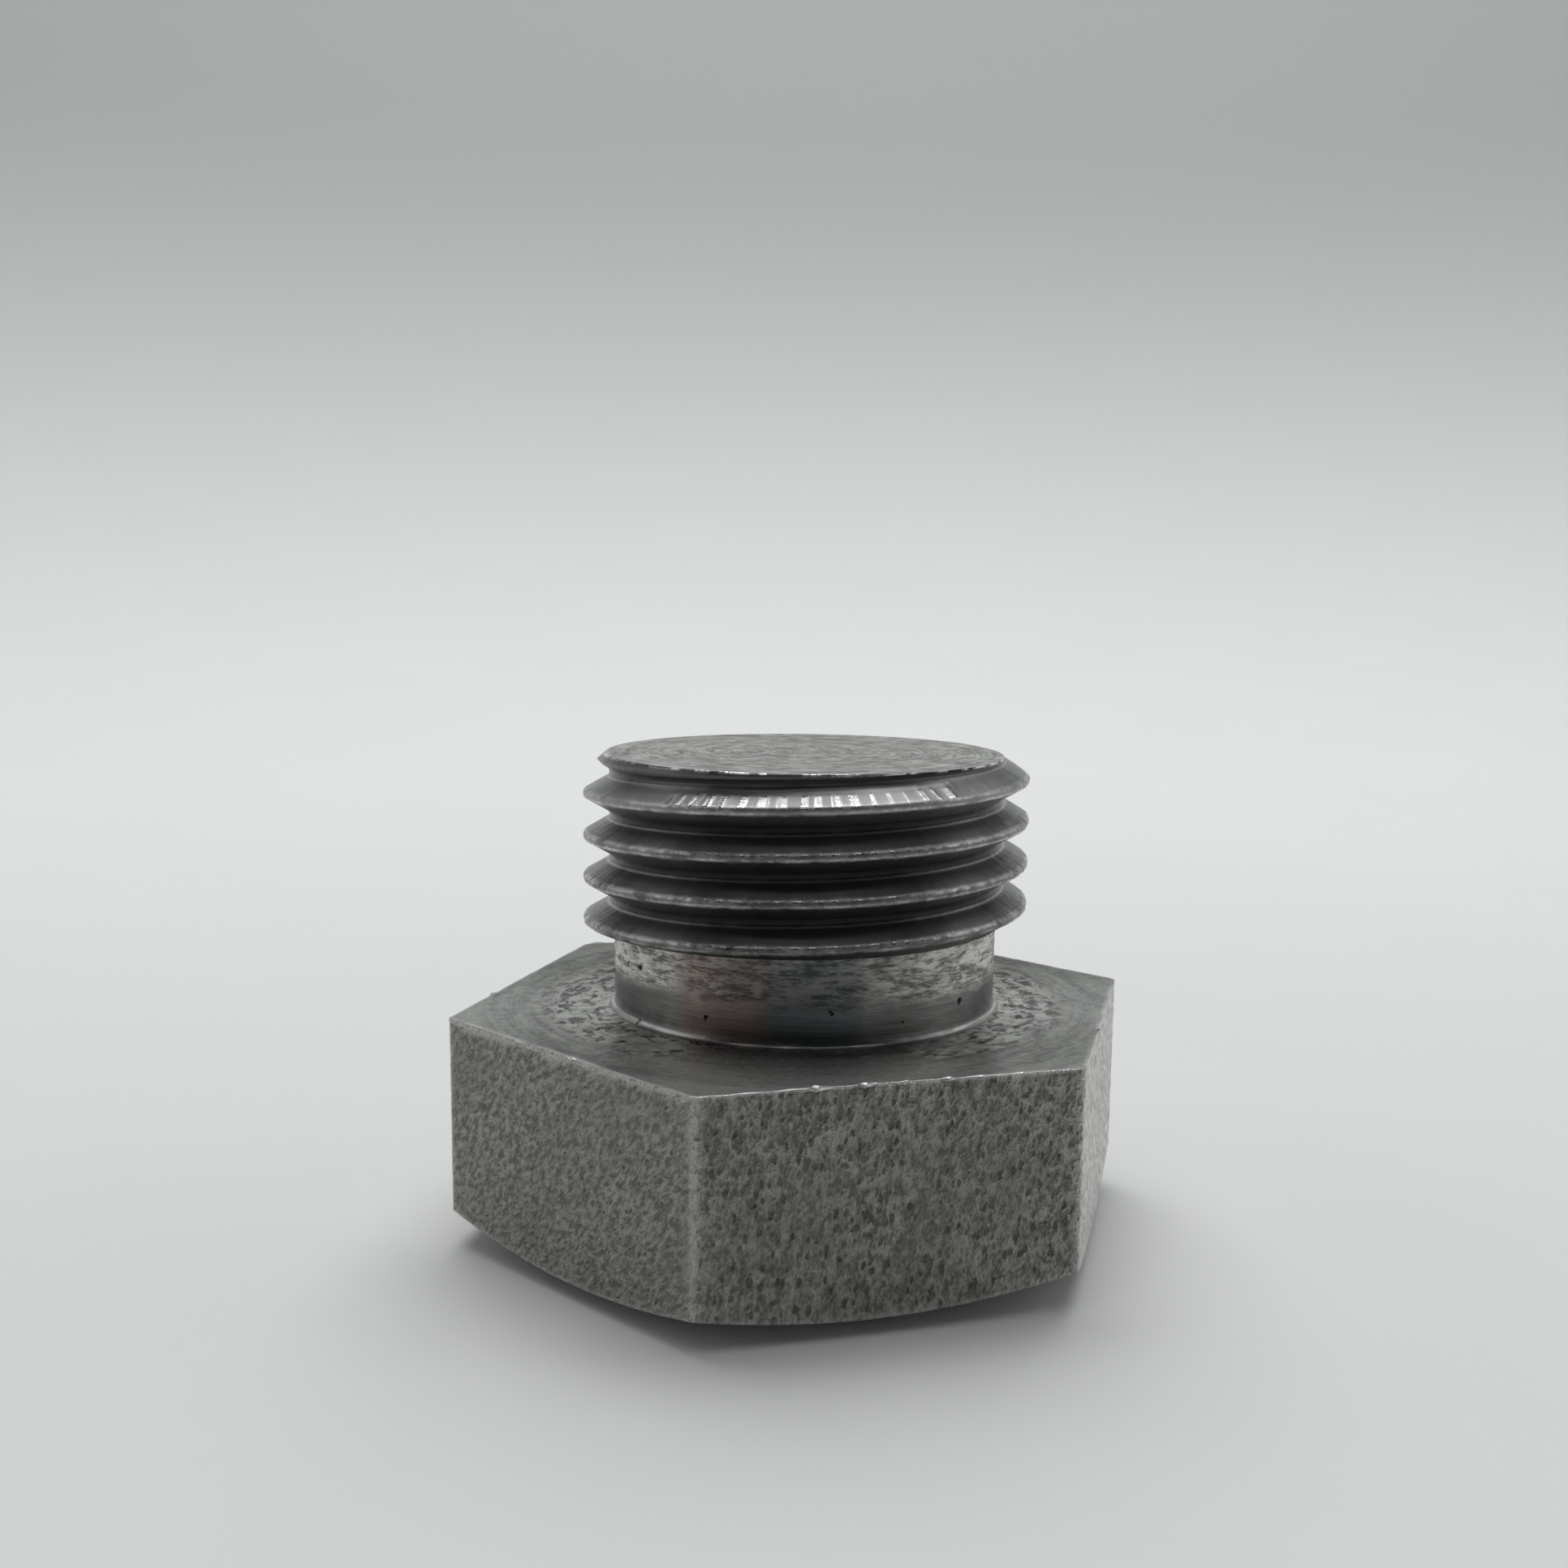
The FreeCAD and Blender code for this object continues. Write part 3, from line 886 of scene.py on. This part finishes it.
def make_sweep():
    """Pale paper that is flat under the plug and curves up to a wall all the way round."""
    flat, bend, wall, steps = 0.10, 0.42, 0.62, 48
    profile = [(flat * 0.5, 0.0), (flat, 0.0)]
    for i in range(1, steps + 1):
        a = i / steps * math.pi / 2
        profile.append((flat + bend * math.sin(a), bend * (1 - math.cos(a))))
    profile.append((flat + bend, wall))
    around = 96
    points = [
        (r * math.cos(2 * math.pi * j / around), r * math.sin(2 * math.pi * j / around), z)
        for r, z in profile for j in range(around)
    ]
    faces = [list(range(around))]
    for i in range(len(profile) - 1):
        for j in range(around):
            k = (j + 1) % around
            faces.append([i * around + j, (i + 1) * around + j, (i + 1) * around + k, i * around + k])
    mesh = bpy.data.meshes.new("sweep")
    mesh.from_pydata(points, [], faces)
    mesh.polygons.foreach_set("use_smooth", [True] * len(faces))
    sweep = bpy.data.objects.new("sweep", mesh)
    bpy.context.scene.collection.objects.link(sweep)
    mesh.materials.append(paper())


def area_light(name, place, aim, size, power, glossy=True):
    """Rectangular softbox at place, facing aim, both in metres."""
    data = bpy.data.lights.new(name, "AREA")
    data.shape = "RECTANGLE"
    data.size, data.size_y = size
    data.energy = power
    light = bpy.data.objects.new(name, data)
    light.location = place
    way = Vector(aim) - Vector(place)
    light.rotation_mode = "QUATERNION"
    light.rotation_quaternion = way.to_track_quat("-Z", "Y")
    light.visible_camera = False
    light.visible_glossy = glossy
    bpy.context.scene.collection.objects.link(light)
    return light


# Degrees that the camera's side is turned round from the frame's -Y side.
VIEW_TURN = -15.71


def seen(x, y, z):
    """A place given with +X to the camera's right and +Y away from the camera, in metres."""
    a = math.radians(VIEW_TURN)
    return Vector((x * math.cos(a) - y * math.sin(a), x * math.sin(a) + y * math.cos(a), z))


def make_flag():
    """Black card on the camera's side that only reflections see: the dark room behind the camera."""
    half, near, height = 0.20, -0.13, 0.34
    corners = [seen(x, near, z) for x, z in ((-half, 0.001), (half, 0.001), (half, height), (-half, height))]
    mesh = bpy.data.meshes.new("flag")
    mesh.from_pydata(corners, [], [(0, 1, 2, 3)])
    flag = bpy.data.objects.new("flag", mesh)
    bpy.context.scene.collection.objects.link(flag)
    n = Nodes("black_card")
    mesh.materials.append(n.finish((0.01, 0.01, 0.011, 1), 0.9, 0.0))
    flag.visible_camera = False
    flag.visible_diffuse = False
    flag.visible_shadow = False


# Tubes of the ceiling fitting, and softer ones at its ends: how far each is turned round the plug
# from the camera's side, in degrees.
TUBE_TURNS = (-23, -20, -16, -12, -9, -5, -1, 3, 7, 11, 14, 17, 20, 23, 26)
END_TUBE_TURNS = (-33, 34)


def make_tube(turn, width, power):
    """One tube of the fitting, which bends away from the camera at both ends. Only reflections see it."""
    ceiling, length = 0.30, 0.13
    x = ceiling * math.sin(math.radians(turn))
    y = 0.035 + 3.7 * x * x
    tube = area_light(f"tube_{turn}", seen(x, y, ceiling), seen(x, y, 0), (width, length), power)
    tube.rotation_mode = "XYZ"
    tube.rotation_euler = (0, 0, math.radians(VIEW_TURN + turn))
    tube.visible_diffuse = False


def make_glint_tube():
    """Long thin tube above the camera's side. Only reflections see it."""
    tube = area_light("glint_tube", seen(0, -0.10, 0.28), seen(0, 0, 0.01), (0.34, 0.005), power=0.035)
    tube.visible_diffuse = False


def make_lights():
    middle = (0, 0, 0.01)
    area_light("ceiling", seen(0, 0.23, 0.44), seen(0, 0.21, 0), (0.50, 0.42), power=1.72, glossy=False)
    area_light("front_fill", seen(0, -0.16, 0.40), middle, (0.40, 0.20), power=0.20, glossy=False)
    area_light("left_box", seen(-0.28, 0.02, 0.16), middle, (0.22, 0.20), power=0.056)
    area_light("right_box", seen(0.28, 0.04, 0.16), middle, (0.22, 0.20), power=0.070)
    for turn in TUBE_TURNS:
        make_tube(turn, width=0.0045, power=0.021)
    for turn in END_TUBE_TURNS:
        make_tube(turn, width=0.032, power=0.035)
    make_glint_tube()
    world = bpy.data.worlds.new("studio")
    world.use_nodes = True
    world.node_tree.nodes["Background"].inputs[0].default_value = (0.05, 0.052, 0.055, 1)
    bpy.context.scene.world = world


def make_camera():
    """Close phone camera, a little above the plug's end, held nearly level."""
    data = bpy.data.cameras.new("camera")
    data.sensor_width = 36.0
    data.lens = 38.66
    data.shift_x, data.shift_y = -0.0375, 0.0277
    data.clip_start, data.clip_end = 0.005, 5.0
    camera = bpy.data.objects.new("camera", data)
    yaw, pitch, roll = (math.radians(a) for a in (-1.251, -8.236, -0.876))
    turn = (
        Matrix.Rotation(math.radians(VIEW_TURN) + yaw, 4, "Z")
        @ Matrix.Rotation(pitch, 4, "X")
        @ Matrix.Rotation(roll, 4, "Y")
        @ Matrix.Rotation(math.pi / 2, 4, "X")
    )
    camera.matrix_world = Matrix.Translation(seen(0, -0.06047, 0.02332)) @ turn
    bpy.context.scene.collection.objects.link(camera)
    bpy.context.scene.camera = camera


make_plug()
make_sweep()
make_flag()
make_lights()
make_camera()
bpy.context.scene.view_settings.view_transform = "Standard"
